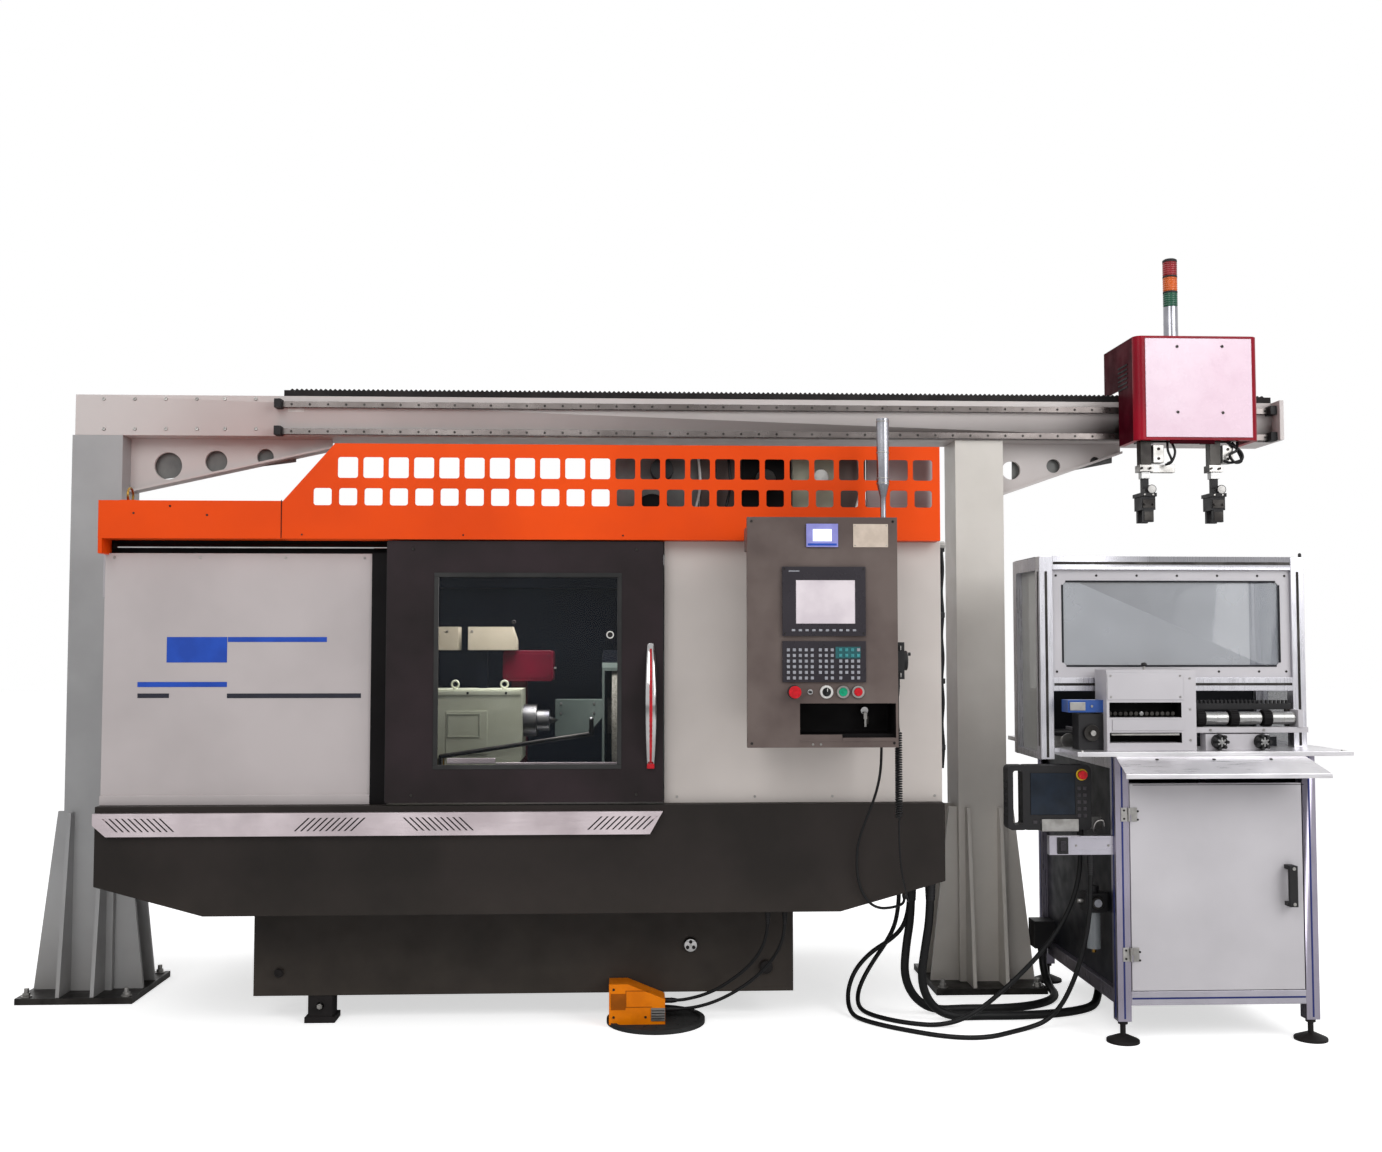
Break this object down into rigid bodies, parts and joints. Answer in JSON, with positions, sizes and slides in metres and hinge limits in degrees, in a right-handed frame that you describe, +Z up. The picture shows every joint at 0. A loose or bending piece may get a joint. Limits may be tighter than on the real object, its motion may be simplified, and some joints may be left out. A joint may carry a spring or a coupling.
{
  "type": "cylindrical grinding machine",
  "caption": "Enclosed cylindrical grinding machine with a sliding window door, control box, overhead gantry loader, feeder bench with hood and a foot pedal.",
  "frame": {"origin": "on the floor, in the middle of the footprint of the whole set without its free cables", "axes": "+Z up, +X to the operator's right along the gantry, +Y into depth, away from the operator"},
  "size_m": [4.1904, 1.506, 2.456],
  "materials": {
    "charcoal_paint": "semi-matte dark grey enamel",
    "grey_paint": "warm light grey enamel",
    "orange_paint": "satin orange enamel",
    "crimson_paint": "glossy crimson enamel",
    "cream_paint": "pale green-cream machine enamel",
    "red_paint": "satin red enamel",
    "silver_strip": "brushed stainless strip",
    "steel": "ground steel",
    "chrome_trim": "polished",
    "glass_pane": "clear safety glass",
    "hood_pane": "clear acrylic in a white frame",
    "black_iron": "black cast iron",
    "abrasive": "bonded abrasive on a steel spindle",
    "profile_aluminium": "satin anodised profile",
    "bench_white": "white-grey powder coat",
    "bench_dark": "dark grey panels",
    "black_plastic": "matt black plastic",
    "red_plastic": "glossy red",
    "green_plastic": "glossy green",
    "orange_cast": "orange painted casting on a black rubber mat",
    "lamp_plastic": "coloured lenses on a grey tube",
    "cable_black": "black cable jacket"
  },
  "bodies": {
    "machine": {"beam_rails": "steel", "bench_frame": "profile_aluminium", "bench_panels": "bench_dark", "bench_table": "bench_white", "control_box": "charcoal_paint", "control_units": "black_plastic", "door_portal": "charcoal_paint", "door_track_cover": "silver_strip", "electrical_cabinet": "grey_paint", "enclosure_panels": "grey_paint", "feeder_cable": "cable_black", "gantry_beam": "grey_paint", "gantry_columns": "grey_paint", "handwheel_curly_cord": "cable_black", "hood_panes": "hood_pane", "levelling_feet": "black_iron", "machine_bed": "charcoal_paint", "magazine": "bench_white", "orange_canopy": "orange_paint", "panel_cable": "cable_black", "pedal_body": "orange_cast", "pedal_cable_far": "cable_black", "pedal_cable_near": "cable_black", "pendant_cable": "cable_black", "side_fittings": "black_plastic", "signal_lamp": "chrome_trim", "splash_pan": "charcoal_paint", "teach_pendant": "black_plastic", "trunk_cable_front": "cable_black", "trunk_cable_rear": "cable_black"},
    "door": {"door_frame": "charcoal_paint", "door_glass": "glass_pane", "door_handle": "chrome_trim"},
    "table": {"work_table": "steel", "work_head_and_tailstock": "cream_paint", "measuring_head": "red_paint"},
    "spindle": {"work_spindle": "steel"},
    "quill": {"tailstock_quill": "steel"},
    "wheel_slide": {"wheel_head": "cream_paint"},
    "wheel": {"grinding_wheel": "abrasive"},
    "estop": {"estop_button": "red_plastic"},
    "start": {"start_button": "green_plastic"},
    "stop": {"stop_button": "red_plastic"},
    "selector": {"selector_knob": "black_plastic"},
    "dial": {"handwheel_dial": "black_plastic"},
    "loader": {"carriage": "steel", "head_cover": "crimson_paint", "tower_light": "lamp_plastic"},
    "left_outer": {"arm_left_outer": "steel"},
    "left_inner": {"arm_left_inner": "black_plastic"},
    "left_jaw": {"arm_left_jaw": "black_plastic"},
    "right_outer": {"arm_right_outer": "steel"},
    "right_inner": {"arm_right_inner": "black_plastic"},
    "right_jaw": {"arm_right_jaw": "black_plastic"},
    "cabinet_door": {"bench_door": "bench_white"},
    "rollers": {"feed_rollers": "steel"},
    "left_knob": {"knob_left": "black_plastic"},
    "right_knob": {"knob_right": "black_plastic"},
    "pendant_button": {"pendant_stop": "red_plastic"},
    "treadle": {"pedal_treadle": "steel"}
  },
  "joints": [
    {"name": "door_slide", "type": "slide", "parent": "machine", "child": "door", "axis": [-1, 0, 0], "range_m": [0, 0.76]},
    {"name": "table_slide", "type": "slide", "parent": "machine", "child": "table", "axis": [1, 0, 0], "range_m": [-0.06, 0.06]},
    {"name": "work_spindle_spin", "type": "hinge", "parent": "table", "child": "spindle", "pos_m": [-0.47675, -0.047, 0.905], "axis": [1, 0, 0], "continuous": true},
    {"name": "quill_slide", "type": "slide", "parent": "table", "child": "quill", "axis": [1, 0, 0], "range_m": [0, 0.035]},
    {"name": "wheel_infeed", "type": "slide", "parent": "machine", "child": "wheel_slide", "axis": [0, -1, 0], "range_m": [0, 0.055]},
    {"name": "wheel_spin", "type": "hinge", "parent": "wheel_slide", "child": "wheel", "pos_m": [-0.19475, 0.243, 0.905], "axis": [1, 0, 0], "continuous": true},
    {"name": "estop_press", "type": "slide", "parent": "machine", "child": "estop", "axis": [0, 1, 0], "range_m": [0, 0.004], "stiffness_N_per_m": 300, "springref_m": -0.004},
    {"name": "start_press", "type": "slide", "parent": "machine", "child": "start", "axis": [0, 1, 0], "range_m": [0, 0.004], "stiffness_N_per_m": 300, "springref_m": -0.004},
    {"name": "stop_press", "type": "slide", "parent": "machine", "child": "stop", "axis": [0, 1, 0], "range_m": [0, 0.004], "stiffness_N_per_m": 300, "springref_m": -0.004},
    {"name": "selector_turn", "type": "hinge", "parent": "machine", "child": "selector", "pos_m": [0.41225, -0.727, 1.018], "axis": [0, 1, 0], "range_deg": [-45, 45]},
    {"name": "handwheel_turn", "type": "hinge", "parent": "machine", "child": "dial", "pos_m": [0.63925, -0.651, 1.104], "axis": [1, 0, 0], "continuous": true},
    {"name": "loader_travel", "type": "slide", "parent": "machine", "child": "loader", "axis": [-1, 0, 0], "range_m": [0, 1.84]},
    {"name": "bench_door_swing", "type": "hinge", "parent": "machine", "child": "cabinet_door", "pos_m": [1.31625, -0.572, 0.254], "axis": [0, 0, -1], "range_deg": [0, 110]},
    {"name": "roller_spin", "type": "hinge", "parent": "machine", "child": "rollers", "pos_m": [1.52525, -0.517, 0.932], "axis": [1, 0, 0], "continuous": true},
    {"name": "left_knob_turn", "type": "hinge", "parent": "machine", "child": "left_knob", "pos_m": [1.59725, -0.517, 0.864], "axis": [0, 1, 0], "continuous": true},
    {"name": "right_knob_turn", "type": "hinge", "parent": "machine", "child": "right_knob", "pos_m": [1.72525, -0.517, 0.864], "axis": [0, 1, 0], "continuous": true},
    {"name": "pendant_stop_press", "type": "slide", "parent": "machine", "child": "pendant_button", "axis": [0, 1, 0], "range_m": [0, 0.004], "stiffness_N_per_m": 300, "springref_m": -0.004},
    {"name": "treadle_press", "type": "hinge", "parent": "machine", "child": "treadle", "pos_m": [-0.12175, -0.337, 0.03], "axis": [0, 1, 0], "range_deg": [0, 6], "stiffness_Nm_per_rad": 8, "springref_deg": -8.59},
    {"name": "left_arm_lower", "type": "slide", "parent": "loader", "child": "left_outer", "axis": [0, 0, -1], "range_m": [0, 0.335]},
    {"name": "left_arm_extend", "type": "slide", "parent": "left_outer", "child": "left_inner", "axis": [0, 0, -1], "range_m": [0, 0.335]},
    {"name": "left_jaw_close", "type": "slide", "parent": "left_inner", "child": "left_jaw", "axis": [0, 1, 0], "range_m": [0, 0.009]},
    {"name": "right_arm_lower", "type": "slide", "parent": "loader", "child": "right_outer", "axis": [0, 0, -1], "range_m": [0, 0.335]},
    {"name": "right_arm_extend", "type": "slide", "parent": "right_outer", "child": "right_inner", "axis": [0, 0, -1], "range_m": [0, 0.335]},
    {"name": "right_jaw_close", "type": "slide", "parent": "right_inner", "child": "right_jaw", "axis": [0, 1, 0], "range_m": [0, 0.009]}
  ],
  "couplings": [
    {"joint": "left_arm_extend", "follows": "left_arm_lower", "ratio": 1},
    {"joint": "right_arm_extend", "follows": "right_arm_lower", "ratio": 1}
  ]
}
